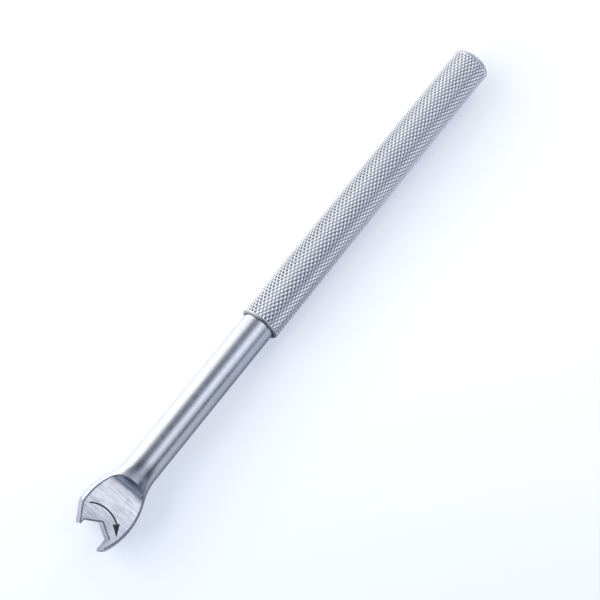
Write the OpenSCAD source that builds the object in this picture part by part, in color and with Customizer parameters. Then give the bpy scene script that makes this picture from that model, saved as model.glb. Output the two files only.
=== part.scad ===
// Open hex wrench for orthopaedic nuts, with a turned head, a round shank and a knurled tube handle.
// +X runs from the jaw to the handle's end, +Z is the nut's axis, and the origin is the nut's centre.
// All sizes are in millimetres.

/* [Jaw] */
// Distance across the flats of the hex opening, for a 9.5 mm nut
jaw_af = 9.7; // [8.5:0.1:12]
// How far the tool's axis lies to the short lip's side of the nut's centre
axis_offset = 0.5; // [0:0.1:1.2]
// Length of the long lip past its hex corner
long_lip = 4.6; // [3.6:0.1:5.2]
// Length of the short lip past its hex corner
short_lip = 1.6; // [1:0.1:3]
// Rounding of the short lip's inner edge
lip_edge_r = 0.4; // [0.2:0.1:0.6]
// Steel left between the short lip's hex corner and its outer facet
short_lip_wall = 1.3; // [0.9:0.1:2]
// Angle between the outer facet and the tool's axis
facet_angle = 32; // [26:1:38]

/* [Head] */
// Thickness between the two ground faces
head_t = 7.7; // [6:0.1:9]
// Steel beside each jaw flat at the head's widest station
cheek = 4.35; // [3.6:0.05:6]
// Distance from the jaw's throat back to the widest station
crown_back = 3.4; // [2.5:0.1:5]
// Radius of the head's side curve, seen from above
crown_r = 22.5; // [20:0.5:28]
// Radius that rounds the outer edge of the lips at the front
nose_r = 3.5; // [2.5:0.1:4]
// Length of each ground face behind the jaw's throat
face_back = 12; // [10:0.5:15]
// Radius that the cutter leaves where a face runs out into the neck
cutter_r = 3.2; // [2:0.1:4]
// Radius of the hollow curve between the head and the shank
flare_r = 18.5; // [12:0.5:26]

/* [Shank] */
// Diameter of the round shank
shank_d = 11; // [9:0.1:13.5]
// Distance from the nut's centre to the handle's front face
shank_reach = 85.5; // [60:0.5:140]
// Step from the shank down to the tang inside the handle
tang_step = 1.55; // [1:0.05:2.5]
// Length of the tang inside the handle
tang_len = 42; // [25:1:60]

/* [Handle] */
// Step from the shank up to the handle, measured over the knurl
grip_step = 1.45; // [1.25:0.05:4]
// Length of the handle with its end plug
grip_len = 123; // [90:1:160]
// Rounding of the handle's front edge
rim_r = 1.1; // [0.6:0.1:1.2]
// Plain band between that rounding and the knurl
band_len = 0.2; // [0.1:0.1:3]
// Number of knurl grooves of each hand round the handle
knurl_starts = 30; // [12:1:31]
// Angle between the knurl's grooves and the handle's axis
knurl_angle = 29; // [25:1:45]
// Depth of the knurl
knurl_depth = 0.35; // [0.2:0.05:0.5]

/* [End plug] */
// Thickness of the plug's head, which closes the tube
plug_head = 1.3; // [1:0.1:3]
// Length of the plug's spigot inside the tube
spigot_len = 12; // [6:1:20]
// Rounding of the plug head's outer edge
plug_edge_r = 1; // [0.5:0.1:1]

/* [Fits] */
// Gap all round the tang and the spigot, filled by the brazing
braze_gap = 0.05; // [0.02:0.01:0.1]
// Chamfer that leads the tang and the spigot into the bore
lead_in = 0.6; // [0.3:0.1:1]

/* [Hidden] */
// Facets of large, medium and small circles
finest = 720;
fine = 180;
coarse = 72;
// Reach of cutting tools past the steel, and of joined shapes into each other
over = 30;
lap = 0.5;
// Jaw: the hex corners stand this far from the centre, and the side corners half as far back
jaw_corner = jaw_af / sqrt(3);
side_corner_x = jaw_corner / 2;
short_lip_x = side_corner_x - short_lip;
front_x = side_corner_x - long_lip;
// Head: a side curve, a nose tangent inside it and a hollow flare tangent outside it.
// Each centre is given by its distance from the tool's axis and its station along the axis.
head_r = jaw_af / 2 + cheek;
crown_x = jaw_corner + crown_back;
crown_c = head_r - crown_r;
nose_x = front_x + nose_r;
nose_c = crown_c + sqrt(pow(crown_r - nose_r, 2) - pow(crown_x - nose_x, 2));
nose_end_x = crown_x + (nose_x - crown_x) * crown_r / (crown_r - nose_r);
shank_r = shank_d / 2;
tang_r = shank_r - tang_step;
flare_c = shank_r + flare_r;
flare_end_x = crown_x + sqrt(pow(crown_r + flare_r, 2) - pow(flare_c - crown_c, 2));
flare_start_x = crown_x + (flare_end_x - crown_x) * crown_r / (crown_r + flare_r);
face_end_x = jaw_corner + face_back;
// Handle
grip_r = shank_r + grip_step;
bore_r = tang_r + braze_gap;
plug_x = shank_reach + grip_len - plug_head;
// Knurl: tips and groove crossings take turns on a grid of columns round the handle and rings along it
band_end_x = shank_reach + rim_r + band_len;
knurl_x = band_end_x - lap;
knurl_len = plug_x - knurl_x;
columns = 2 * knurl_starts;
rings = round(knurl_len * columns * tan(knurl_angle) / (2 * PI * grip_r));

// Lays what stands along Z on the tool's axis, which runs along X
module along_tool() {
    translate([0, axis_offset, 0])
        rotate([0, 90, 0])
            children();
}

// Turns a profile drawn as [distance from the axis, station] round the tool's axis
module turned(segments) {
    along_tool()
        rotate_extrude($fn = segments)
            children();
}

// Half profile of a round bar of radius r between stations a and b
module bar_profile(r, a, b) {
    translate([0, min(a, b)])
        square([r, abs(b - a)]);
}

// Half profile of a bar that starts at station a and ends at b, either way, with a rounded end edge
module rounded_end_profile(r, a, b, edge_r) {
    shoulder = b - sign(b - a) * edge_r;
    intersection() {
        bar_profile(r, a, b);
        union() {
            bar_profile(r, a, shoulder);
            bar_profile(r - edge_r, a, b);
            translate([r - edge_r, shoulder])
                circle(r = edge_r, $fn = coarse);
        }
    }
}

// Half profile of a bar that starts at station a and ends at b, either way, with a chamfered end edge
module tapered_end_profile(r, a, b, chamfer) {
    shoulder = b - sign(b - a) * chamfer;
    polygon([[0, a], [r, a], [r, shoulder], [r - chamfer, b], [0, b]]);
}

// Half profile of the head's bulging side, from the end of the nose to past the start of the flare
module crown_profile() {
    intersection() {
        translate([crown_c, crown_x])
            circle(r = crown_r, $fn = finest);
        bar_profile(head_r, nose_end_x, flare_start_x + lap);
    }
}

// Half profile of the rounded front of the head
module nose_profile() {
    bar_profile(nose_c, front_x, nose_end_x);
    translate([nose_c, nose_x])
        circle(r = nose_r, $fn = fine);
}

// Half profile of the hollow flare that runs from the head down to the shank
module flare_profile() {
    difference() {
        bar_profile(head_r, flare_start_x, flare_end_x);
        translate([flare_c, flare_end_x])
            circle(r = flare_r, $fn = finest);
    }
}

// The turned blank: head, neck, shank and the tang inside the handle
module turned_blank() {
    turned(fine)
        union() {
            nose_profile();
            crown_profile();
            flare_profile();
            bar_profile(shank_r, crown_x, shank_reach);
            tapered_end_profile(tang_r, shank_reach - lap, shank_reach + tang_len, lead_in);
        }
}

// The cutter's path over the upper face, with the round run-out at its rear
module face_cut() {
    rotate([90, 0, 0])
        linear_extrude(2 * over, center = true)
            union() {
                translate([-over, head_t / 2])
                    square([over + face_end_x, over]);
                translate([0, head_t / 2 + cutter_r])
                    square([face_end_x + cutter_r, over]);
                translate([face_end_x, head_t / 2 + cutter_r])
                    circle(r = cutter_r, $fn = fine);
            }
}

// The hex opening, run out through the front between the lips
module jaw_cut() {
    linear_extrude(2 * over, center = true)
        union() {
            circle(r = jaw_corner, $fn = 6);
            translate([-over, -jaw_af / 2])
                square([over, jaw_af]);
        }
}

// What is cut from the short lip: its front, with a rounded inner edge, and the facet outside it
module short_lip_cut() {
    linear_extrude(2 * over, center = true)
        union() {
            translate([short_lip_x - over, 0])
                square([over, over]);
            translate([short_lip_x, jaw_af / 2])
                difference() {
                    square(lip_edge_r);
                    translate([lip_edge_r, lip_edge_r])
                        circle(r = lip_edge_r, $fn = coarse);
                }
            translate([side_corner_x, jaw_af / 2])
                rotate(facet_angle)
                    translate([-over, short_lip_wall])
                        square([2 * over, over]);
        }
}

// Head, neck, shank and tang in one piece of steel
module wrench_shank() {
    color("silver")
        difference() {
            turned_blank();
            face_cut();
            mirror([0, 0, 1])
                face_cut();
            jaw_cut();
            short_lip_cut();
        }
}

// Radius of the knurl at a column and ring: the tips, or the low points at both ends and between tips
function knurl_radius(column, ring) =
    ring > 0 && ring < rings && (column + ring) % 2 == 1 ? grip_r : grip_r - knurl_depth;

// Point of the knurl at a column and ring
function knurl_point(column, ring) =
    let (angle = 360 * column / columns, r = knurl_radius(column, ring))
    [r * cos(angle), r * sin(angle), knurl_x + knurl_len * ring / rings];

// The two triangles of a grid cell, which meet along the groove that crosses it
function knurl_cell(column, ring) =
    let (
        a = ring * columns + column,
        b = ring * columns + (column + 1) % columns,
        c = a + columns,
        d = b + columns
    )
    (column + ring) % 2 == 0 ? [[a, c, d], [a, d, b]] : [[a, c, b], [b, c, d]];

// Solid bar along Z with the diamond knurl on its side
module knurled_bar() {
    points = [for (ring = [0:rings], column = [0:columns - 1]) knurl_point(column, ring)];
    cells = [for (ring = [0:rings - 1], column = [0:columns - 1]) each knurl_cell(column, ring)];
    front = [for (column = [0:columns - 1]) column];
    rear = [for (column = [columns - 1:-1:0]) rings * columns + column];
    polyhedron(points, concat(cells, [front, rear]));
}

// The handle tube: a rounded front rim, the knurl behind it, and a bore for the tang and the plug
module knurled_handle() {
    color("darkgray")
        difference() {
            union() {
                turned(fine)
                    rounded_end_profile(grip_r, band_end_x, shank_reach, rim_r);
                along_tool()
                    knurled_bar();
            }
            turned(fine)
                bar_profile(bore_r, shank_reach - lap, plug_x + lap);
        }
}

// The plug that closes the rear of the tube, with a rounded head and a spigot
module handle_end_plug() {
    color("gainsboro")
        union() {
            turned(fine)
                rounded_end_profile(grip_r, plug_x, plug_x + plug_head, plug_edge_r);
            turned(fine)
                tapered_end_profile(tang_r, plug_x + lap, plug_x - spigot_len, lead_in);
        }
}

wrench_shank();
knurled_handle();
handle_end_plug();
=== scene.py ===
import math

import bmesh
import bpy
import numpy as np
from mathutils import Matrix, Vector
from mathutils.geometry import delaunay_2d_cdt


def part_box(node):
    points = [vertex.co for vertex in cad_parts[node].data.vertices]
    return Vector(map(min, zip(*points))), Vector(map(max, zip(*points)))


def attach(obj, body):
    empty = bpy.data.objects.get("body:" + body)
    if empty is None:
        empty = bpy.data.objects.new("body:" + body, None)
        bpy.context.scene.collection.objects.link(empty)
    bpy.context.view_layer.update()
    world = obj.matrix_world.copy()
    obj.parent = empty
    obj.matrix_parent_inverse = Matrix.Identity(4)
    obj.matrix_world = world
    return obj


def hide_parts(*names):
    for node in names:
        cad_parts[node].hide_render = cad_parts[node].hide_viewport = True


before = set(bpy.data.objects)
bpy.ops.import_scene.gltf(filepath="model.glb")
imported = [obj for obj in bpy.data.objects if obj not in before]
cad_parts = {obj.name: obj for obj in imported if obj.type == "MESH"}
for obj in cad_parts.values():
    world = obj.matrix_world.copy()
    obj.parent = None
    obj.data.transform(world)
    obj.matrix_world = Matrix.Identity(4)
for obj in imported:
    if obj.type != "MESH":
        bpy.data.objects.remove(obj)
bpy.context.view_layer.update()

# Sizes are in millimetres in the part's own frame, unless a comment says metres
MM = 0.001

# Places that the frame gives
handle_low, handle_high = [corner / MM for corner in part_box("knurled_handle")]
plug_low, plug_high = [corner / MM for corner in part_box("handle_end_plug")]
AXIS_Y = (handle_low.y + handle_high.y) / 2
GRIP_R = (handle_high.z - handle_low.z) / 2
HANDLE_X = handle_low.x
TUBE_END_X = handle_high.x
PLUG_END_X = plug_high.x
SPIGOT_END_X = plug_low.x
TANG_END_X = (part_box("wrench_shank")[1] / MM).x
FLOOR_Z = handle_low.z

# Jaw
JAW_AF = 9.7
JAW_CORNER = JAW_AF / math.sqrt(3)
SIDE_CORNER_X = JAW_CORNER / 2
LONG_LIP = 4.6
SHORT_LIP = 1.6
FRONT_X = SIDE_CORNER_X - LONG_LIP
SHORT_LIP_X = SIDE_CORNER_X - SHORT_LIP
LIP_EDGE_R = 0.4
SHORT_LIP_WALL = 1.3
FACET_ANGLE = math.radians(32)

# Head: its turned side is a nose, a crown and a hollow flare, tangent to each other
HEAD_T = 7.7
CHEEK = 4.35
HEAD_R = JAW_AF / 2 + CHEEK
CROWN_BACK = 3.4
CROWN_X = JAW_CORNER + CROWN_BACK
CROWN_R = 22.5
CROWN_C = HEAD_R - CROWN_R
NOSE_R = 3.5
NOSE_X = FRONT_X + NOSE_R
NOSE_C = CROWN_C + math.sqrt((CROWN_R - NOSE_R) ** 2 - (CROWN_X - NOSE_X) ** 2)
NOSE_END_X = CROWN_X + (NOSE_X - CROWN_X) * CROWN_R / (CROWN_R - NOSE_R)
SHANK_R = 5.5
TANG_R = 3.95
LEAD_IN = 0.6
FLARE_R = 18.5
FLARE_C = SHANK_R + FLARE_R
FLARE_END_X = CROWN_X + math.sqrt((CROWN_R + FLARE_R) ** 2 - (FLARE_C - CROWN_C) ** 2)
FLARE_START_X = CROWN_X + (FLARE_END_X - CROWN_X) * CROWN_R / (CROWN_R + FLARE_R)
FACE_BACK = 12
FACE_END_X = JAW_CORNER + FACE_BACK
CUTTER_R = 3.2
# Height of the cutter's surface where there is no cut
NO_CUT = 1e3
# Broken edges: the width of the blend between two surfaces, and the fillet on the lips' corners
EDGE_BLEND = 0.5
EDGE_HALF = 0.22
CORNER_TRIM = 0.14

# Shank mesh: slices at constant height in front of the split, rings round the axis behind it.
# The rings stand closer in the cutter's run-out, and closest where it leaves the steel.
SPLIT_X = 12.0
RUNOUT_STEEP_X = 20.4
RUNOUT_END_X = 20.84
RING_SPANS = (
    (SPLIT_X, FACE_END_X, 0.4),
    (FACE_END_X, RUNOUT_STEEP_X, 0.1),
    (RUNOUT_STEEP_X, RUNOUT_END_X, 0.02),
    (RUNOUT_END_X, FLARE_END_X, 0.3),
)
SHANK_RINGS = 13
# Points of a quarter ring: on the side, over the broken edge and across the face
ARC_COLUMNS = 16
EDGE_COLUMNS = 4
FLAT_COLUMNS = 36
SIDE_COLUMNS = ARC_COLUMNS + EDGE_COLUMNS
QUARTER = SIDE_COLUMNS + FLAT_COLUMNS
RING = 4 * QUARTER
EDGE_ANGLE_MIN = math.radians(20)
TINY = 1e-6
# How strongly the points on the side gather towards the edge
SIDE_GATHER = 1.6
# Steps of the head's outline, and the columns where its parts start
CURVE_STEPS = 60
CORNER_STEPS = 4
LONG_SIDE_STEPS = 64
LONG_WALL_STEPS = 10
THROAT_STEPS = 12
SHORT_WALL_STEPS = 5
LIP_EDGE_STEPS = 7
FACET_STEPS = 12
SHORT_SIDE_STEPS = 14
LONG_WALL = LONG_SIDE_STEPS + CORNER_STEPS
THROAT = LONG_WALL + LONG_WALL_STEPS
LIP_EDGE = THROAT + 2 * THROAT_STEPS + SHORT_WALL_STEPS
OUTER_FACET = LIP_EDGE + LIP_EDGE_STEPS + CORNER_STEPS
# Columns of the jaw's walls and of the facet, each with a column of the corners beside it, and
# of the long lip's wall, whose edges are left without the painted shade of the broken edges
WALL_COLUMNS = range(LONG_WALL - 1, LIP_EDGE)
FACET_COLUMNS = range(OUTER_FACET - 1, OUTER_FACET + FACET_STEPS + 1)
UNSHADED_EDGE_COLUMNS = range(LONG_WALL - CORNER_STEPS + 1, THROAT)
# The search for the facet's end: how far it may be, and the number of halvings
FACET_REACH = 12.0
HALVINGS = 40

# Handle
BRAZE_GAP = 0.05
BORE_R = TANG_R + BRAZE_GAP
RIM_R = 1.1
RIM_STEPS = 6
TUBE_CHAMFER = 0.15
KNURL_STARTS = 33
KNURL_ANGLE = math.radians(29.4)
KNURL_DEPTH = 0.36
# Mesh points across a groove
KNURL_STEPS = 4
# How grooves of the two hands meet: 0 for plain pyramids, 1 for V grooves of full depth
KNURL_SHARP = 0.10
# Length over which the pattern starts and ends
KNURL_FADE = 0.3
# Angle of the rounded rim at which the knurl starts: 180 is the front face, 90 the tube's side
KNURL_SHOULDER = 118
PLUG_EDGE_R = 1.0
PLUG_EDGE_STEPS = 10
PLUG_CHAMFER = 0.12
# Radii of the rings of points on the plug's flat face
PLUG_RINGS = (4.5, 3.0, 1.5)
PLUG_SEGMENTS = 132

# Arrow on the upper face: an arc round a centre near the nut, and a head at its end
ARROW_Y = 1.55
ARROW_R = 9.45
ARROW_LINE = 0.5
ARROW_START = math.radians(34.3)
ARROW_END = math.radians(-34.4)
ARROW_POINTS = 28
ARROW_BASE = ((7.12, -2.72), (8.63, -4.38))
ARROW_TIP = (4.70, -6.25)
ARROW_DEPTH = 0.12
ARROW_SUNK = 0.02

# Points closer than this are one point, and sharper edges than this in degrees stay sharp
WELD = 0.002
SHARP_ANGLE = 35
KNURL_SHARP_ANGLE = 20
# The filler's output type for triangles inside the loops only, and its tolerance
FILL_INSIDE = 1
FILL_TOLERANCE = 1e-5

# Streaked steels: dark and light colour, roughness, streaks and blotches in lumps per metre
# along each axis, and bump height
STEELS = {
    "satin_steel": (
        (0.585, 0.600, 0.620), (0.655, 0.670, 0.690), (0.20, 0.32),
        (4000, 90, 90), (60, 200, 200), 0.0014,
    ),
    "milled_steel": (
        (0.71, 0.71, 0.74), (0.80, 0.80, 0.83), (0.30, 0.45),
        (300, 300, 3000), (300, 300, 300), 0.006,
    ),
    # The broken edges round the ground faces, darkened with painted shade in place of their glints
    "shaded_edge_steel": (
        (0.20, 0.21, 0.25), (0.36, 0.37, 0.41), (0.35, 0.45),
        (900, 900, 900), (500, 500, 500), 0.004,
    ),
    # The short lip's outer facet: a darker copy of the steel, as painted shade
    "shaded_facet_steel": (
        (0.40, 0.41, 0.44), (0.48, 0.49, 0.52), (0.30, 0.42),
        (1500, 1500, 200), (300, 300, 300), 0.004,
    ),
    "turned_steel": (
        (0.48, 0.49, 0.51), (0.54, 0.55, 0.57), (0.24, 0.36),
        (4000, 300, 300), (200, 200, 200), 0.004,
    ),
}
STEEL_SHEEN = (0.82, 0.84, 0.87, 1)
NOISE_ROUGHNESS = 0.6

# Painted shade on top of the neck. Each fade is an axis, a span, and the shares at its two ends.
NECK_SHADE = (0.33, 0.32, 0.36)
NECK_SHADE_FADES = (("X", (24.5, 30.0), (1, 0)), ("Z", (4.0, 4.8), (0, 1)), ("Y", (-1.6, 0.4), (1, 0.70)))

# Ground faces: grinding lines of two sizes and clouds, in lumps per metre, and their mixture
GRIND_COARSE = (700, 60, 60)
GRIND_FINE = (2600, 160, 160)
GRIND_FINE_REACH = 0.12
GRIND_FINE_SHARE = 0.72
GRIND_CLOUD = (450, 350, 350)
GRIND_CLOUD_SHARE = 0.32
GRIND_DARK, GRIND_LIGHT, GRIND_REACH = (0.54, 0.55, 0.57), (1, 1, 1), 0.36
GRIND_ROUGH, GRIND_ROUGH_REACH = (0.28, 0.42), 0.5
GRIND_BUMP = 0.01
# Their tone at places along X: dull by the jaw; in the run-out partly heat tint and partly painted
# shade, dark in the hollow. It is a little uneven.
FACE_TINT_AND_SHADE = (
    (2, (0.80, 0.81, 0.84)), (8, (0.88, 0.89, 0.91)), (11.5, (1, 1, 1)), (16.6, (1, 1, 1)),
    (17.0, (0.90, 0.89, 0.90)), (17.9, (0.66, 0.65, 0.68)), (18.5, (0.44, 0.46, 0.52)),
    (19.0, (0.66, 0.70, 0.76)), (19.5, (0.56, 0.61, 0.67)), (20.0, (0.27, 0.32, 0.39)),
    (20.8, (0.30, 0.35, 0.42)),
)
FACE_UNEVEN = 0.016
FACE_UNEVEN_LUMPS = (250, 120, 120)

# Knurl: painted shade, dark where grooves cross, bright from a little below the tips
KNURL_PIT_SHADE = (0.02, 0.02, 0.03)
KNURL_DARK, KNURL_LIGHT = (0.86, 0.865, 0.875), (0.93, 0.935, 0.945)
KNURL_SHADE_R = (GRIP_R - KNURL_DEPTH, GRIP_R - 0.22 * KNURL_DEPTH)
KNURL_GRIT, KNURL_CLOUD = (2500, 2500, 2500), (90, 90, 90)
KNURL_ROUGH = (0.22, 0.30)
KNURL_BUMP = 0.004
# Painted shade on the rounded rim: it has a share of that brightness as far as the knurl, and is dark at
# the joint
RIM_SHADE_KEEP = 0.36
RIM_SHADE_X = (HANDLE_X + 0.45, HANDLE_X + 0.75)
RIM_SHADE_R = (GRIP_R - RIM_R, GRIP_R - RIM_R + 0.25)

# Enamel in the arrow
ENAMEL_DARK, ENAMEL_LIGHT = (0.004, 0.004, 0.006), (0.016, 0.016, 0.020)
ENAMEL_LUMPS = (4000, 4000, 4000)
ENAMEL_ROUGH = (0.45, 0.65)
ENAMEL_BUMP, ENAMEL_STRENGTH = 0.01, 0.6

# Floor: its size in metres, and the paper's colours low and high in the picture, a painted falloff of
# light
FLOOR_SIZE = 3.0
PAPER_LOW, PAPER_HIGH = (0.84, 0.87, 0.94), (0.97, 0.98, 1.0)
PAPER_UP, PAPER_SPAN = (0.85, 0.52, 0), (-50, 110)
PAPER_ROUGH, PAPER_GLOSS = 0.9, 0.1
# Share of the paper's white that the camera sees straight from it, which softens the shadow
PAPER_OWN_WHITE = 0.55
# Painted shadow on the paper: bluer on the tool's dark side, and deepest along the handle: tint and
# fades
DARK_SIDE = ("Y", (-4, 4), (1, 0))
PAPER_PAINTED_SHADOWS = (
    (
        (0.94, 0.965, 1),
        (("Y", (-55, -10), (0, 1)), DARK_SIDE, ("X", (-40, 10), (0, 1)), ("X", (180, 250), (1, 0))),
    ),
    (
        (0.87, 0.89, 0.96),
        (("Y", (-12.5, -7), (0, 1)), DARK_SIDE, ("X", (60, 90), (0, 1)), ("X", (200, 211), (1, 0))),
    ),
)
# Painted shade in what steel reflects of the paper on the dark side: dim near the shank, lighter by the
# handle, by the head and further out
DIM_NEAR, DIM_FAR = (0.36, 0.38, 0.43), (0.66, 0.68, 0.73)
DIM_FADES = (("X", (80, 200), (0, 1)), ("X", (12, 26), (0.15, 0)), ("Y", (-120, -50), (1, 0)))
# Painted reflection on the lit side: a glow that only steel sees, from the tool's edge outwards, weaker
# by the handle
GLOW_EDGE_X = (12, 24)
GLOW_START = (-1, 1)
GLOW_RISE, GLOW_STRENGTH = (0, 20), (0.14, 0.70)
GLOW_HANDLE = ("X", (92, 110), (1, 0.3))

# Light tent: rows of (angle, brightness, blueness), with the angle round the tool's axis in
# degrees from +Z towards +Y
WORLD_PEAK = 2.0
# What a blueness of 1 adds to red, green and blue
TENT_BLUE = (-0.09, 0, 0.27)
TENT_JAW = (
    (-130, 0.40, 1), (-90, 0.28, 1.2), (-40, 0.26, 1.4), (20, 0.26, 1.4), (52, 0.30, 1.2),
    (72, 0.90, 0.5), (98, 1.5, 0),
)
TENT_FRONT = (
    (-130, 0.80, 0.6), (-60, 0.80, 0.6), (-42, 0.65, 0.8), (-24, 0.36, 1.2), (0, 0.32, 1.2),
    (16, 0.45, 1), (34, 0.80, 0.6), (60, 0.85, 0.5), (82, 1.2, 0), (98, 1.6, 0),
)
TENT_MIDDLE = (
    (-130, 0.70, 0.6), (-82, 0.68, 0.6), (-66, 0.70, 0.8), (-54, 0.10, 1), (-42, 0.08, 1),
    (-28, 0.62, 0.6), (-8, 1.12, 0.3), (6, 0.62, 0.6), (20, 0.16, 1), (42, 0.17, 1),
    (56, 0.58, 0.5), (74, 1.6, 0), (96, 1.8, 0),
)
TENT_REAR = (
    (-130, 0.54, 1), (-82, 0.54, 1), (-66, 0.64, 1), (-54, 0.12, 1), (-44, 0.13, 1),
    (-30, 1.0, 0.6), (-8, 1.72, 0.5), (8, 1.00, 0.8), (22, 0.21, 1), (42, 0.19, 1),
    (56, 0.58, 0.5), (74, 1.6, 0), (96, 1.8, 0),
)
TENT_BACK = (
    (-130, 1.0, 0.8), (-82, 1.05, 0.8), (-66, 1.2, 0.8), (-54, 1.15, 1), (-42, 1.05, 1),
    (-28, 0.90, 0.6), (-10, 0.82, 0.5), (6, 1.05, 0.6), (22, 0.72, 1), (44, 0.32, 1),
    (60, 0.40, 0.5), (74, 0.70, 0.2), (96, 1.2, 0),
)
TENT_FAR = (
    (-130, 1.3, 0.8), (-90, 1.2, 0.8), (-70, 0.70, 1), (-54, 0.20, 1), (-44, 0.40, 1),
    (-30, 1.25, 0.6), (-8, 1.35, 0.5), (14, 1.2, 0.6), (36, 0.85, 0.6), (56, 0.95, 0.4),
    (76, 1.6, 0.2), (98, 1.9, 0),
)
# From past the jaw to past the handle, each takes over from the one before between two
# directions, given by their part along X
TENT_JOINS = (
    (TENT_FRONT, (-0.90, -0.78)),
    (TENT_MIDDLE, (-0.25, 0.06)),
    (TENT_REAR, (0.12, 0.26)),
    (TENT_BACK, (0.285, 0.40)),
    (TENT_FAR, (0.40, 0.58)),
)

# Lamp, in metres and watts
LAMP_PLACE, LAMP_TARGET = (-0.45, 0.75, 0.55), (0.1, 0, 0)
LAMP_SIZE = (1.1, 0.6)
LAMP_POWER = 15
LAMP_COLOR = (1, 0.985, 0.96)

# The photograph's camera, found from the object's outlines
CAMERA_PLACE = (-36.381, 55.048, 412.884)
CAMERA_RIGHT = (0.59639, -0.74193, 0.30638)
CAMERA_UP = (0.73904, 0.65648, 0.15114)
CAMERA_BACK = (-0.31327, 0.13629, 0.93983)
CAMERA_SENSOR = 36
CAMERA_LENS = 80.758
CAMERA_NEAR = 10

# The shank's materials, in the order of its slots
SATIN, GROUND, MILLED, EDGE, FACET = range(5)


def make_piece(name, shape, materials, replaced=None, sharp=SHARP_ANGLE):
    """A mesh object from points and faces, riding on the part's one body."""
    points, faces = shape
    mesh = bpy.data.meshes.new(name)
    mesh.from_pydata([Vector(p) * MM for p in points], [], [list(face) for face, _ in faces])
    for material in materials:
        mesh.materials.append(material)
    mesh.polygons.foreach_set("material_index", [index for _, index in faces])
    bm = bmesh.new()
    bm.from_mesh(mesh)
    bmesh.ops.remove_doubles(bm, verts=bm.verts, dist=WELD * MM)
    bmesh.ops.recalc_face_normals(bm, faces=bm.faces)
    bm.to_mesh(mesh)
    bm.free()
    mesh.shade_smooth()
    mesh.set_sharp_from_angle(angle=math.radians(sharp))
    piece = bpy.data.objects.new(name, mesh)
    bpy.context.scene.collection.objects.link(piece)
    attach(piece, "root")
    if replaced:
        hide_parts(replaced)


def grid_faces(rows, columns, start=0, closed=False):
    """Quads between consecutive rows of points, each row the same length."""
    faces = []
    last = columns if closed else columns - 1
    for row in range(rows - 1):
        for column in range(last):
            a = start + row * columns + column
            b = start + row * columns + (column + 1) % columns
            faces.append(((a, b, b + columns, a + columns), 0))
    return faces


def turned_point(x, r, angle):
    """A point at radius r from the tool's axis. The angle is measured from +Z towards +Y."""
    return (x, AXIS_Y + r * math.sin(angle), r * math.cos(angle))


def lathe(profile, segments, start=0):
    """Points and faces of a profile of (x, radius) pairs turned round the tool's axis."""
    points = [
        turned_point(x, r, 2 * math.pi * k / segments)
        for x, r in profile
        for k in range(segments)
    ]
    return points, grid_faces(len(profile), segments, start, True)


def arc(x, r, radius, first, last, count):
    """Points of a round edge in a lathe profile, centred at (x, r), between two angles in degrees."""
    angles = [math.radians(first + (last - first) * k / count) for k in range(count + 1)]
    return [(x + radius * math.cos(a), r + radius * math.sin(a)) for a in angles]


def side_radius(x):
    """Distance of the turned surface from the tool's axis."""
    if x < NOSE_END_X:
        return NOSE_C + math.sqrt(max(0, NOSE_R**2 - (x - NOSE_X) ** 2))
    if x < FLARE_START_X:
        return CROWN_C + math.sqrt(CROWN_R**2 - (x - CROWN_X) ** 2)
    if x < FLARE_END_X:
        return FLARE_C - math.sqrt(FLARE_R**2 - (FLARE_END_X - x) ** 2)
    return SHANK_R


def face_height(x):
    """Height of the cutter's surface above the middle plane."""
    run = x - FACE_END_X
    if run <= 0:
        return HEAD_T / 2
    if run < CUTTER_R:
        return HEAD_T / 2 + CUTTER_R - math.sqrt(CUTTER_R**2 - run**2)
    return NO_CUT


def blend_min(a, b, width):
    """The smaller of two values, rounded where they are nearly the same."""
    h = min(1, max(0, 0.5 + 0.5 * (b - a) / width))
    return b + (a - b) * h - width * h * (1 - h)


def ring_angles(x):
    """Angles of a quarter ring from the side up to the top, gathered at the face's edge."""
    r = side_radius(x)
    edge = max(math.acos(min(1, face_height(x) / r)), EDGE_ANGLE_MIN)
    half = EDGE_HALF / r
    side = math.pi / 2
    shares = [1 - (1 - k / ARC_COLUMNS) ** SIDE_GATHER for k in range(ARC_COLUMNS)]
    above = [side + (edge + half - side) * share for share in shares]
    near = [edge + half - 2 * half * k / EDGE_COLUMNS for k in range(EDGE_COLUMNS)]
    across = [(edge - half) * (1 - k / FLAT_COLUMNS) for k in range(FLAT_COLUMNS)]
    return above + near + across


def ring(x):
    """A closed section of the neck or shank: a circle cut flat above and below."""
    r = side_radius(x)
    h = face_height(x)
    quarter = ring_angles(x)
    top = quarter + [0] + [-a for a in reversed(quarter)][:-1]
    angles = top + [-math.pi / 2] + [-math.pi + a for a in quarter[1:]]
    angles += [math.pi] + [math.pi - a for a in reversed(quarter)][:-1]
    points = []
    for angle in angles:
        flat = h / max(TINY, abs(math.cos(angle)))
        points.append(turned_point(x, blend_min(r, flat, EDGE_BLEND), angle))
    return points


def resample(points, count, trim_start=0.0, trim_end=0.0):
    """count + 1 points evenly along a polyline, with a length cut from either end."""
    points = np.array(points, float)
    steps = np.linalg.norm(np.diff(points, axis=0), axis=1)
    lengths = np.concatenate([[0], np.cumsum(steps)])
    at = np.linspace(trim_start, lengths[-1] - trim_end, count + 1)
    return [(np.interp(a, lengths, points[:, 0]), np.interp(a, lengths, points[:, 1])) for a in at]


def fillet(before, corner, after):
    """Points of a soft corner between two ends, without the ends themselves."""
    before, corner, after = np.array(before), np.array(corner), np.array(after)
    steps = [k / CORNER_STEPS for k in range(1, CORNER_STEPS)]
    return [tuple((1 - s) ** 2 * before + 2 * s * (1 - s) * corner + s**2 * after) for s in steps]


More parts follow.
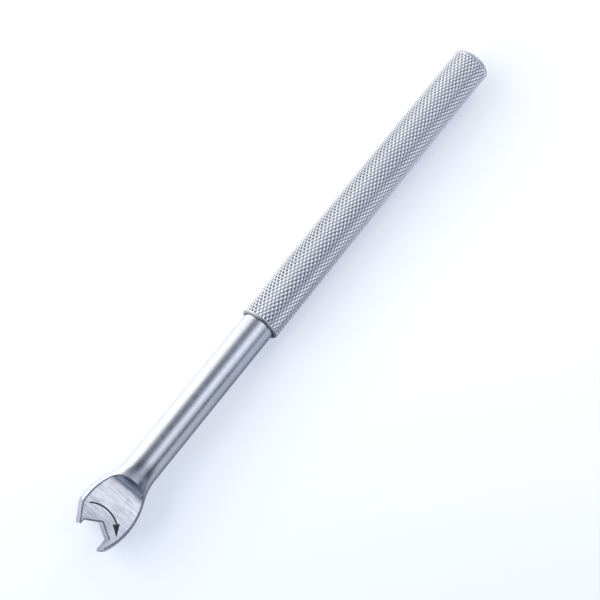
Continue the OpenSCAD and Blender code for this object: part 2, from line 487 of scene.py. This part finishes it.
def facet_point(distance):
    """A point on the line of the short lip's outer facet."""
    x = SIDE_CORNER_X + distance * math.cos(FACET_ANGLE) - SHORT_LIP_WALL * math.sin(FACET_ANGLE)
    y = JAW_AF / 2 + distance * math.sin(FACET_ANGLE) + SHORT_LIP_WALL * math.cos(FACET_ANGLE)
    return x, y


def side_y(x, z):
    """How far the turned side stands from the axis at a height."""
    return math.sqrt(max(0, side_radius(x) ** 2 - z**2))


def facet_end(z):
    """Where the facet's line meets the turned side at a height, found by halving."""
    near, far = 0.0, FACET_REACH
    for _ in range(HALVINGS):
        middle = (near + far) / 2
        x, y = facet_point(middle)
        near, far = (middle, far) if y - AXIS_Y < side_y(x, z) else (near, middle)
    return facet_point(near)


def long_lip_outline(z):
    """The outer side at a height, from the split along the crown and the nose to the lip's tip."""
    start = math.asin((NOSE_X - NOSE_END_X) / NOSE_R)
    tip = math.acos((math.hypot(JAW_AF / 2 + AXIS_Y, z) - NOSE_C) / NOSE_R)
    outer = [(x, AXIS_Y - side_y(x, z)) for x in np.linspace(SPLIT_X, NOSE_END_X, CURVE_STEPS)]
    for a in np.linspace(start, tip, CURVE_STEPS)[1:]:
        r = NOSE_C + NOSE_R * math.cos(a)
        outer.append((NOSE_X - NOSE_R * math.sin(a), AXIS_Y - math.sqrt(r**2 - z**2)))
    return outer


def head_outline(z):
    """The head's outline at a height, from the split along the long lip, the jaw and the short lip."""
    wall = JAW_AF / 2
    outer = long_lip_outline(z)
    corner = outer[-1]
    long_side = resample(outer, LONG_SIDE_STEPS, 0, CORNER_TRIM)
    long_wall = resample([corner, (SIDE_CORNER_X, -wall)], LONG_WALL_STEPS, CORNER_TRIM, 0)
    throat = resample([(SIDE_CORNER_X, -wall), (JAW_CORNER, 0)], THROAT_STEPS)
    throat += resample([(JAW_CORNER, 0), (SIDE_CORNER_X, wall)], THROAT_STEPS)[1:]
    short_wall = resample(
        [(SIDE_CORNER_X, wall), (SHORT_LIP_X + LIP_EDGE_R, wall)], SHORT_WALL_STEPS
    )
    edge = [
        (
            SHORT_LIP_X + LIP_EDGE_R - LIP_EDGE_R * math.sin(a),
            wall + LIP_EDGE_R - LIP_EDGE_R * math.cos(a),
        )
        for a in np.linspace(0, math.pi / 2, LIP_EDGE_STEPS + 1)
    ]
    front_corner = facet_point((SHORT_LIP_X - facet_point(0)[0]) / math.cos(FACET_ANGLE))
    rear_corner = facet_end(z)
    rear = [
        (x, AXIS_Y + side_y(x, z)) for x in np.linspace(rear_corner[0], SPLIT_X, CURVE_STEPS)
    ]
    facet_side = resample([front_corner, rear_corner], FACET_STEPS, CORNER_TRIM, CORNER_TRIM)
    short_side = resample(rear, SHORT_SIDE_STEPS, CORNER_TRIM, 0)
    return (
        long_side
        + fillet(long_side[-1], corner, long_wall[0])
        + long_wall
        + throat[1:]
        + short_wall[1:]
        + edge[1:]
        + fillet(edge[-1], front_corner, facet_side[0])
        + facet_side
        + fillet(facet_side[-1], rear_corner, short_side[0])
        + short_side
    )


def inset(outline, amount):
    """Moves an outline into the steel. The two ends stay in the plane of the split."""
    points = np.array(outline)
    steps = np.diff(points, axis=0)
    steps /= np.linalg.norm(steps, axis=1)[:, None]
    normals = np.column_stack([steps[:, 1], -steps[:, 0]])
    before, after = normals[:-1], normals[1:]
    miter = (before + after) / (1 + np.sum(before * after, axis=1))[:, None]
    moves = np.vstack([[0, 1], miter, [0, -1]])
    return points + amount * moves


def arrow_outline():
    """The arrow's outline on the upper face, once round."""
    centre = np.array([0, ARROW_Y])
    angles = np.linspace(ARROW_START, ARROW_END, ARROW_POINTS)
    rays = [np.array([math.cos(a), math.sin(a)]) for a in angles]
    outer = [tuple(centre + (ARROW_R + ARROW_LINE / 2) * ray) for ray in rays]
    inner = [tuple(centre + (ARROW_R - ARROW_LINE / 2) * ray) for ray in reversed(rays)]
    return outer + [ARROW_BASE[1], ARROW_TIP, ARROW_BASE[0]] + inner


def fill_plane(loops):
    """Triangles inside the first loop, as points, triangles and whether each lies in the second loop."""
    # The filler takes each loop anticlockwise
    loops = [loop[::-1] for loop in loops]
    coords = [Vector(p[:2]) for loop in loops for p in loop]
    faces, start = [], 0
    for loop in loops:
        faces.append(list(range(start, start + len(loop))))
        start += len(loop)
    points, _, triangles, _, _, origins = delaunay_2d_cdt(
        coords, [], faces, FILL_INSIDE, FILL_TOLERANCE
    )
    inner = [len(loops) > 1 and 1 in origin for origin in origins]
    return points, triangles, inner


def open_edges(triangles):
    """The triangles' edges that no neighbour shares."""
    edges = {(a, b): None for t in triangles for a, b in zip(t, t[1:] + t[:1])}
    return [(a, b) for a, b in edges if (b, a) not in edges]


def add_rings(points, faces):
    """The rear of the head, the neck and the shank, as rings from the split to the handle."""
    stations = [x for start, end, step in RING_SPANS for x in np.arange(start, end, step)]
    stations += list(np.linspace(FLARE_END_X, HANDLE_X, SHANK_RINGS))
    for x in stations:
        points += ring(x)
    for row in range(len(stations) - 1):
        x = (stations[row] + stations[row + 1]) / 2
        angles = ring_angles(x) + [0]
        for face, _ in grid_faces(2, RING, row * RING, True):
            column = (face[0] - row * RING) % (2 * QUARTER)
            beside = min(column, 2 * QUARTER - 1 - column)
            angle = (angles[beside] + angles[beside + 1]) / 2
            rise = face_height(x) / math.cos(angle) - side_radius(x)
            # Faces along the ground faces' edges take the edge steel, with its painted shade
            material = EDGE if abs(rise) < 2 * EDGE_HALF else GROUND if rise < 0 else SATIN
            faces.append((face, material))


def add_tang(points, faces):
    """The shoulder behind the last ring, and the tang inside the handle."""
    last = points[-RING:]
    start = len(points) - RING
    tang = [(HANDLE_X, TANG_R), (TANG_END_X - LEAD_IN, TANG_R), (TANG_END_X, TANG_R - LEAD_IN)]
    for x, r in tang:
        scale = r / SHANK_R
        points += [(x, AXIS_Y + (y - AXIS_Y) * scale, z * scale) for _, y, z in last]
    faces += grid_faces(len(tang) + 1, RING, start, True)
    faces.append((tuple(range(len(points) - RING, len(points))), SATIN))


def add_head_sides(points, faces):
    """The head's sides, in a slice for each height of the first ring's side. Returns the lowest
    and the highest slice."""
    upper = points[: SIDE_COLUMNS + 1]
    heights = [(-z, y) for _, y, z in reversed(upper)] + [(z, y) for _, y, z in upper[1:]]
    slices = []
    for z, y in heights:
        amount = max(0, side_y(SPLIT_X, z) - (y - AXIS_Y))
        slices.append(inset(head_outline(z), amount))
    start = len(points)
    for (z, _), outline in zip(heights, slices):
        points += [(x, y, z) for x, y in outline]
    columns = len(slices[0])
    for face, _ in grid_faces(len(slices), columns, start):
        row, column = divmod(face[0] - start, columns)
        near_edge = min(row, len(slices) - 2 - row) < EDGE_COLUMNS
        # Rows next to the ground faces take the edge steel, with its painted shade
        if near_edge and column not in UNSHADED_EDGE_COLUMNS:
            material = EDGE
        elif column in WALL_COLUMNS:
            material = MILLED
        else:
            material = FACET if column in FACET_COLUMNS else SATIN
        faces.append((face, material))
    return slices[0], slices[-1]


def add_ground_face(points, faces, outline, side):
    """One of the two ground faces, with the arrow cut into the upper one."""
    loop = [tuple(p) for p in outline]
    ends = points[SIDE_COLUMNS : 2 * QUARTER + 1 - SIDE_COLUMNS]
    loop += [(SPLIT_X, y) for _, y, _ in ends[1:-1]]
    loops = [loop, arrow_outline()] if side > 0 else [loop]
    flat, triangles, inner = fill_plane(loops)
    start = len(points)
    points += [(p.x, p.y, side * HEAD_T / 2) for p in flat]
    sunk = len(points)
    points += [(p.x, p.y, side * (HEAD_T / 2 - ARROW_DEPTH)) for p in flat]
    for triangle, in_arrow in zip(triangles, inner):
        offset = sunk if in_arrow else start
        faces.append((tuple(offset + k for k in triangle), GROUND))
    arrow = [triangle for triangle, in_arrow in zip(triangles, inner) if in_arrow]
    for a, b in open_edges(arrow):
        faces.append(((start + a, start + b, sunk + b, sunk + a), GROUND))


def shank_mesh():
    """The whole shank: sliced head in front, rings behind, and the tang inside the handle."""
    points, faces = [], []
    add_rings(points, faces)
    add_tang(points, faces)
    bottom, top = add_head_sides(points, faces)
    add_ground_face(points, faces, top, 1)
    add_ground_face(points, faces, bottom, -1)
    # Only the points that a face uses are kept
    used = sorted({k for face, _ in faces for k in face})
    index = {k: i for i, k in enumerate(used)}
    faces = [(tuple(index[k] for k in face), material) for face, material in faces]
    return [points[k] for k in used], faces


def arrow_mesh():
    """The black filling of the arrow, a little below the face."""
    flat, triangles, _ = fill_plane([arrow_outline()])
    count = len(flat)
    heights = (HEAD_T / 2 - ARROW_SUNK, HEAD_T / 2 - ARROW_DEPTH)
    points = [(p.x, p.y, z) for z in heights for p in flat]
    faces = [(tuple(t), 0) for t in triangles]
    faces += [(tuple(count + k for k in reversed(t)), 0) for t in triangles]
    faces += [((a, b, count + b, count + a), 0) for a, b in open_edges(triangles)]
    return points, faces


def groove(phase):
    """Height across the grooves of one hand: 0 on a groove's line, 1 midway to the next."""
    return 2 * abs(phase - round(phase))


def knurl_height(column, ring):
    """Height of the knurl from 0, where grooves cross, to 1, on the tips."""
    one, other = groove((column + ring) / 2), groove((ring - column) / 2)
    return KNURL_SHARP * min(one, other) + (1 - KNURL_SHARP) * (one + other) / 2


def handle_mesh():
    """The tube: bore, rounded rim, diamond knurl and rear edge."""
    columns = 2 * KNURL_STARTS
    around = KNURL_STARTS * KNURL_STEPS
    knurl_x = HANDLE_X + RIM_R + RIM_R * math.cos(math.radians(KNURL_SHOULDER))
    length = TUBE_END_X - TUBE_CHAMFER - knurl_x
    rings = round(length * columns * math.tan(KNURL_ANGLE) / (2 * math.pi * GRIP_R))
    front = [(TUBE_END_X, BORE_R), (HANDLE_X, BORE_R), (HANDLE_X, GRIP_R - RIM_R)]
    front += arc(HANDLE_X + RIM_R, GRIP_R - RIM_R, RIM_R, 180, KNURL_SHOULDER, RIM_STEPS)[1:]
    points, faces = lathe(front, around)

    # Rows of points half a step apart, so that the mesh's edges follow the grooves of both hands
    start = len(points)
    rows = rings * KNURL_STEPS
    radii = []
    for row in range(rows + 1):
        ring = row / KNURL_STEPS
        x = knurl_x + length * ring / rings
        rim = GRIP_R - RIM_R + math.sqrt(RIM_R**2 - max(0, HANDLE_X + RIM_R - x) ** 2)
        fade = min(1, (x - knurl_x) / KNURL_FADE, (knurl_x + length - x) / KNURL_FADE)
        for k in range(around):
            column = (2 * k + row % 2) / KNURL_STEPS
            radii.append(rim - KNURL_DEPTH * fade * (1 - knurl_height(column, ring + 0.5)))
            points.append(turned_point(x, radii[-1], 2 * math.pi * column / columns))

    # Each diamond of four points is split along its higher diagonal
    for row in range(rows):
        for k in range(around):
            here = row * around + k
            beside = row * around + (k + 1) % around
            left = (row + 1) * around + (k if row % 2 else (k - 1) % around)
            right = (row + 1) * around + ((k + 1) % around if row % 2 else k)
            if row == 0:
                faces.append((tuple(start + p for p in (here, beside, right)), 0))
            if row == rows - 1:
                faces.append((tuple(start + p for p in (here, right, left)), 0))
                continue
            far = (row + 2) * around + k
            if radii[here] + radii[far] > radii[left] + radii[right]:
                pair = ((here, right, far), (here, far, left))
            else:
                pair = ((here, right, left), (left, right, far))
            faces += [(tuple(start + p for p in triangle), 0) for triangle in pair]
    rear = [
        (knurl_x + length, GRIP_R),
        (TUBE_END_X, GRIP_R - TUBE_CHAMFER),
        (TUBE_END_X, BORE_R),
    ]
    more, rear_faces = lathe(rear, around, len(points))
    return points + more, faces + rear_faces


def plug_mesh():
    """The plug: a head with a rounded edge and a small chamfer at the tube, and the spigot."""
    edge_x, edge_r = PLUG_END_X - PLUG_EDGE_R, GRIP_R - PLUG_EDGE_R
    profile = [
        (SPIGOT_END_X, TANG_R - LEAD_IN),
        (SPIGOT_END_X + LEAD_IN, TANG_R),
        (TUBE_END_X, TANG_R),
        (TUBE_END_X, GRIP_R - PLUG_CHAMFER),
        (TUBE_END_X + PLUG_CHAMFER, GRIP_R),
    ]
    profile += arc(edge_x, edge_r, PLUG_EDGE_R, 90, 0, PLUG_EDGE_STEPS)
    profile += [(PLUG_END_X, r) for r in PLUG_RINGS]
    points, faces = lathe(profile, PLUG_SEGMENTS)
    for first, x in ((0, SPIGOT_END_X), ((len(profile) - 1) * PLUG_SEGMENTS, PLUG_END_X)):
        centre = len(points)
        points.append((x, AXIS_Y, 0))
        for k in range(PLUG_SEGMENTS):
            faces.append(((first + k, first + (k + 1) % PLUG_SEGMENTS, centre), 0))
    return points, faces


def add_node(tree, kind, inputs=None, **settings):
    """A shader node. Each input, by name or number, is a value or another node's output."""
    node = tree.nodes.new("ShaderNode" + kind)
    for name, setting in settings.items():
        setattr(node, name, setting)
    for key, value in (inputs or {}).items():
        if isinstance(value, bpy.types.NodeSocket):
            tree.links.new(value, node.inputs[key])
        else:
            node.inputs[key].default_value = value
    return node


def new_material(name, metallic=0):
    """A material with one Principled shader, as the material, its tree and the shader."""
    material = bpy.data.materials.new(name)
    material.use_nodes = True
    tree = material.node_tree
    tree.nodes.clear()
    shader = add_node(tree, "BsdfPrincipled", {"Metallic": metallic})
    add_node(tree, "OutputMaterial", {"Surface": shader.outputs["BSDF"]})
    return material, tree, shader


def dress(tree, shader, color, roughness, normal):
    """Links a shader's colour, roughness and normal."""
    tree.links.new(color, shader.inputs["Base Color"])
    tree.links.new(roughness, shader.inputs["Roughness"])
    tree.links.new(normal, shader.inputs["Normal"])


def combine(tree, operation, *values):
    """An operation on two values, or on more of them one after another."""
    result = values[0]
    for value in values[1:]:
        node = add_node(tree, "Math", {0: result, 1: value}, operation=operation)
        result = node.outputs["Value"]
    return result


def map_range(tree, value, span, ends=(0, 1), interpolation="LINEAR"):
    """Maps a span of values to the two ends, and keeps to the ends outside it."""
    inputs = {"Value": value, "From Min": span[0], "From Max": span[1]}
    inputs |= {"To Min": ends[0], "To Max": ends[1]}
    return add_node(tree, "MapRange", inputs, interpolation_type=interpolation).outputs["Result"]


def map_sizes(tree, value, span, ends=(0, 1), interpolation="LINEAR"):
    """map_range for a place or a distance, with its span in millimetres."""
    return map_range(tree, value, [size * MM for size in span], ends, interpolation)


def fades(tree, parts, limits):
    """Smooth fades, each from an axis, a span in millimetres and the values at its two ends."""
    return [map_sizes(tree, parts[axis], span, ends, "SMOOTHSTEP") for axis, span, ends in limits]


def mix(tree, share, first, second, blend_type="MIX"):
    """Blends two colours, each a colour or another node's output."""
    inputs = {"Factor": share, "A": first, "B": second}
    for key in "AB":
        if not isinstance(inputs[key], bpy.types.NodeSocket):
            inputs[key] = (*inputs[key], 1)
    node = add_node(tree, "Mix", inputs, data_type="RGBA", blend_type=blend_type)
    return node.outputs["Result"]


def blend(tree, first, second, share):
    """Mixes two noises."""
    return add_node(tree, "Mix", {"Factor": share, "A": first, "B": second}).outputs["Result"]


def shaded_place(tree):
    """The place that is shaded, in metres in the object's frame, and its X, Y and Z parts."""
    place = add_node(tree, "TexCoord").outputs["Object"]
    return place, add_node(tree, "SeparateXYZ", {"Vector": place}).outputs


def axis_distance(tree, place):
    """Distance of a place from the tool's axis, in metres."""
    inputs = {"Vector": place, "Location": (0, -AXIS_Y * MM, 0), "Scale": (0, 1, 1)}
    centred = add_node(tree, "Mapping", inputs).outputs["Vector"]
    return add_node(tree, "VectorMath", {0: centred}, operation="LENGTH").outputs["Value"]


def grain(tree, lumps, detail):
    """A noise whose streaks are set by its lumps per metre along each axis."""
    place = add_node(tree, "TexCoord").outputs["Object"]
    scaled = add_node(tree, "Mapping", {"Vector": place, "Scale": lumps}).outputs["Vector"]
    inputs = {"Vector": scaled, "Scale": 1, "Detail": detail, "Roughness": NOISE_ROUGHNESS}
    return add_node(tree, "TexNoise", inputs).outputs["Fac"]


def spread(tree, noise, ends=(0, 1), reach=0.2):
    """Maps a noise to the two ends, from as far below its middle as above it."""
    return map_range(tree, noise, (0.5 - reach, 0.5 + reach), ends)


def tint(tree, noise, dark, light, reach=0.2):
    """Blends two colours by a noise."""
    return mix(tree, spread(tree, noise, reach=reach), dark, light)


def bump(tree, noise, height, strength=1):
    """A normal that a noise raises by a height in millimetres."""
    inputs = {"Height": noise, "Distance": height * MM, "Strength": strength}
    return add_node(tree, "Bump", inputs).outputs["Normal"]


def ramp_of(tree, stops, value, interpolation):
    """A colour ramp from (place, colour) pairs in rising order."""
    node = add_node(tree, "ValToRGB", {"Fac": value})
    ramp = node.color_ramp
    ramp.interpolation = interpolation
    for k, (at, color) in enumerate(stops):
        stop = ramp.elements[k] if k < 2 else ramp.elements.new(at)
        stop.position = at
        stop.color = (*color, 1)
    return node.outputs["Color"]


def steel(name, shading_layer=None):
    """Bare stainless steel with streaks of grinding or turning, faint blotches and perhaps a layer of
    painted shade.
    """
    dark, light, rough, streaks, blotches, height = STEELS[name]
    material, tree, shader = new_material(name, metallic=1)
    shader.inputs["Specular Tint"].default_value = STEEL_SHEEN
    fine = grain(tree, streaks, detail=4)
    color = tint(tree, grain(tree, blotches, detail=3), dark, light)
    if shading_layer:
        color = shading_layer(tree, color)
    dress(tree, shader, color, spread(tree, fine, rough), bump(tree, fine, height))
    return material


def neck_painted_shade(tree, color):
    """Darkens the top of the neck with painted shade."""
    _, parts = shaded_place(tree)
    share = combine(tree, "MULTIPLY", *fades(tree, parts, NECK_SHADE_FADES))
    return mix(tree, share, color, NECK_SHADE, "MULTIPLY")


def ground_steel():
    """The head's faces: lines of grinding across the tool, of two sizes, with uneven tone and painted
    shade in the cutter's run-out.
    """
    material, tree, shader = new_material("ground_steel", metallic=1)
    coarse = spread(tree, grain(tree, GRIND_COARSE, detail=2))
    fine = spread(tree, grain(tree, GRIND_FINE, detail=1), reach=GRIND_FINE_REACH)
    cloud = spread(tree, grain(tree, GRIND_CLOUD, detail=3))
    lines = blend(tree, coarse, fine, GRIND_FINE_SHARE)
    tone = blend(tree, lines, cloud, GRIND_CLOUD_SHARE)
    _, parts = shaded_place(tree)
    first, last = FACE_TINT_AND_SHADE[0][0], FACE_TINT_AND_SHADE[-1][0]
    along = map_sizes(tree, parts["X"], (first, last))
    lumps = grain(tree, FACE_UNEVEN_LUMPS, detail=3)
    uneven = spread(tree, lumps, (-FACE_UNEVEN, FACE_UNEVEN))
    stops = [((x - first) / (last - first), color) for x, color in FACE_TINT_AND_SHADE]
    tint_and_shade = ramp_of(tree, stops, combine(tree, "ADD", along, uneven), "LINEAR")
    ground = tint(tree, tone, GRIND_DARK, GRIND_LIGHT, GRIND_REACH)
    color = mix(tree, 1, ground, tint_and_shade, "MULTIPLY")
    rough = spread(tree, lines, GRIND_ROUGH, GRIND_ROUGH_REACH)
    dress(tree, shader, color, rough, bump(tree, lines, GRIND_BUMP))
    return material


def knurled_steel():
    """Bright tips and flanks, painted shade where the grooves cross, and a grey rim with painted shade,
    dark at the joint.
    """
    material, tree, shader = new_material("knurled_steel", metallic=1)
    grit = grain(tree, KNURL_GRIT, detail=3)
    place, parts = shaded_place(tree)
    radius = axis_distance(tree, place)
    knurl = map_sizes(tree, radius, KNURL_SHADE_R)
    rim = map_sizes(tree, parts["X"], RIM_SHADE_X, (RIM_SHADE_KEEP, 0))
    rim = combine(tree, "MULTIPLY", rim, map_sizes(tree, radius, RIM_SHADE_R))
    bright = tint(tree, grain(tree, KNURL_CLOUD, detail=3), KNURL_DARK, KNURL_LIGHT)
    # Painted shade: dark in the pits and on the rim, bright on the tips
    color = mix(tree, combine(tree, "MAXIMUM", rim, knurl), KNURL_PIT_SHADE, bright)
    dress(tree, shader, color, spread(tree, grit, KNURL_ROUGH), bump(tree, grit, KNURL_BUMP))
    return material


def arrow_black():
    """Black enamel, a little uneven."""
    material, tree, shader = new_material("arrow_black")
    speckle = grain(tree, ENAMEL_LUMPS, detail=3)
    color = tint(tree, speckle, ENAMEL_DARK, ENAMEL_LIGHT)
    normal = bump(tree, speckle, ENAMEL_BUMP, ENAMEL_STRENGTH)
    dress(tree, shader, color, spread(tree, speckle, ENAMEL_ROUGH), normal)
    return material


def floor_material():
    """Pale paper, paler up the picture with a painted falloff of light, and painted shadow beside the
    tool. Steel sees a painted reflection of it, bright on the lit side and dim on the other.
    """
    material, tree, shader = new_material("paper_floor")
    place, parts = shaded_place(tree)
    rays = add_node(tree, "LightPath").outputs
    # Paper paler up the picture: painted falloff of light
    up = add_node(tree, "VectorMath", {0: place, 1: PAPER_UP}, operation="DOT_PRODUCT")
    share = map_sizes(tree, up.outputs["Value"], PAPER_SPAN, interpolation="SMOOTHSTEP")
    paper = mix(tree, share, PAPER_LOW, PAPER_HIGH)
    # Painted shadow beside the tool, deepest along the handle
    for shade, limits in PAPER_PAINTED_SHADOWS:
        share = combine(tree, "MULTIPLY", *fades(tree, parts, limits))
        paper = mix(tree, share, paper, shade, "MULTIPLY")

    # Painted shade in steel's view of the dark side
    dim = mix(tree, combine(tree, "ADD", *fades(tree, parts, DIM_FADES)), DIM_NEAR, DIM_FAR)
    dark_side = fades(tree, parts, [DARK_SIDE])
    seen_dim = combine(tree, "MULTIPLY", rays["Is Glossy Ray"], *dark_side)
    tree.links.new(mix(tree, seen_dim, paper, dim), shader.inputs["Base Color"])
    shader.inputs["Roughness"].default_value = PAPER_ROUGH
    shader.inputs["Specular IOR Level"].default_value = PAPER_GLOSS

    # Painted reflection: a glow that only steel sees on the lit side, by the distance past the tool's
    # edge
    widths = (HEAD_R * MM, SHANK_R * MM)
    edge = map_sizes(tree, parts["X"], GLOW_EDGE_X, widths, "SMOOTHSTEP")
    beside = combine(tree, "SUBTRACT", parts["Y"], edge)
    strength = combine(
        tree, "MULTIPLY", rays["Is Glossy Ray"],
        map_sizes(tree, beside, GLOW_START, interpolation="SMOOTHSTEP"),
        map_sizes(tree, beside, GLOW_RISE, GLOW_STRENGTH, "SMOOTHSTEP"),
        *fades(tree, parts, [GLOW_HANDLE]),
    )
    glow = add_node(tree, "Emission", {"Color": (1, 1, 1, 1), "Strength": strength})

    # The camera's view
    white = add_node(tree, "Emission", {"Color": paper})
    share = combine(tree, "MULTIPLY", rays["Is Camera Ray"], PAPER_OWN_WHITE)
    inputs = {"Fac": share, 1: shader.outputs["BSDF"], 2: white.outputs["Emission"]}
    seen = add_node(tree, "MixShader", inputs)
    inputs = {0: seen.outputs["Shader"], 1: glow.outputs["Emission"]}
    whole = add_node(tree, "AddShader", inputs)
    tree.links.new(whole.outputs["Shader"], tree.get_output_node("ALL").inputs["Surface"])
    return material


def build_floor():
    """A pale sheet that the wrench lies on."""
    mesh = bpy.data.meshes.new("floor")
    bm = bmesh.new()
    bmesh.ops.create_grid(bm, x_segments=8, y_segments=8, size=FLOOR_SIZE)
    bm.to_mesh(mesh)
    bm.free()
    mesh.materials.append(floor_material())
    floor = bpy.data.objects.new("floor", mesh)
    floor.location = (0, 0, FLOOR_Z * MM)
    bpy.context.scene.collection.objects.link(floor)


def tent(tree, rows, angle):
    """One stretch of the light tent, by the angle round the tool's axis as a share of a turn."""
    stops = []
    for degrees, value, blue in rows:
        color = tuple(value * (1 + part * blue) / WORLD_PEAK for part in TENT_BLUE)
        stops.append(((degrees + 180) / 360, color))
    return ramp_of(tree, stops, angle, "EASE")


def build_world():
    """The light tent: bright panels and dark gaps round the tool, in six stretches along it."""
    world = bpy.data.worlds.new("tent")
    world.use_nodes = True
    bpy.context.scene.world = world
    tree = world.node_tree
    tree.nodes.clear()
    place = add_node(tree, "TexCoord").outputs["Generated"]
    direction = add_node(tree, "SeparateXYZ", {"Vector": place}).outputs
    turn = combine(tree, "ARCTAN2", direction["Y"], direction["Z"])
    angle = map_range(tree, turn, (-math.pi, math.pi))
    color = tent(tree, TENT_JAW, angle)
    for rows, span in TENT_JOINS:
        share = map_range(tree, direction["X"], span, interpolation="SMOOTHSTEP")
        color = mix(tree, share, color, tent(tree, rows, angle))
    background = add_node(tree, "Background", {"Color": color, "Strength": WORLD_PEAK})
    add_node(tree, "OutputWorld", {"Surface": background.outputs["Background"]})


def build_lamp():
    """A large soft lamp on the photograph's left, which steel doesn't mirror."""
    light = bpy.data.lights.new("key", "AREA")
    light.shape = "RECTANGLE"
    light.size, light.size_y = LAMP_SIZE
    light.energy = LAMP_POWER
    light.color = LAMP_COLOR
    lamp = bpy.data.objects.new("key", light)
    lamp.location = LAMP_PLACE
    aim = Vector(LAMP_TARGET) - Vector(LAMP_PLACE)
    lamp.rotation_euler = aim.to_track_quat("-Z", "Y").to_euler()
    lamp.visible_glossy = False
    bpy.context.scene.collection.objects.link(lamp)


def build_camera():
    """The photograph's camera."""
    data = bpy.data.cameras.new("camera")
    data.sensor_width = CAMERA_SENSOR
    data.lens = CAMERA_LENS
    data.clip_start = CAMERA_NEAR * MM
    camera = bpy.data.objects.new("camera", data)
    turned = Matrix((CAMERA_RIGHT, CAMERA_UP, CAMERA_BACK)).transposed().to_4x4()
    camera.matrix_world = Matrix.Translation(Vector(CAMERA_PLACE) * MM) @ turned
    bpy.context.scene.collection.objects.link(camera)
    bpy.context.scene.camera = camera


shank_steels = [
    steel("satin_steel", neck_painted_shade),
    ground_steel(),
    steel("milled_steel"),
    steel("shaded_edge_steel"),
    steel("shaded_facet_steel"),
]
make_piece("wrench_shank_finish", shank_mesh(), shank_steels, "wrench_shank")
make_piece("arrow_fill", arrow_mesh(), [arrow_black()])
make_piece(
    "knurled_handle_finish", handle_mesh(), [knurled_steel()], "knurled_handle",
    KNURL_SHARP_ANGLE,
)
make_piece(
    "handle_end_plug_finish", plug_mesh(), [steel("turned_steel")], "handle_end_plug"
)

build_floor()
build_world()
build_lamp()
build_camera()

scene = bpy.context.scene
scene.view_settings.view_transform = "Standard"
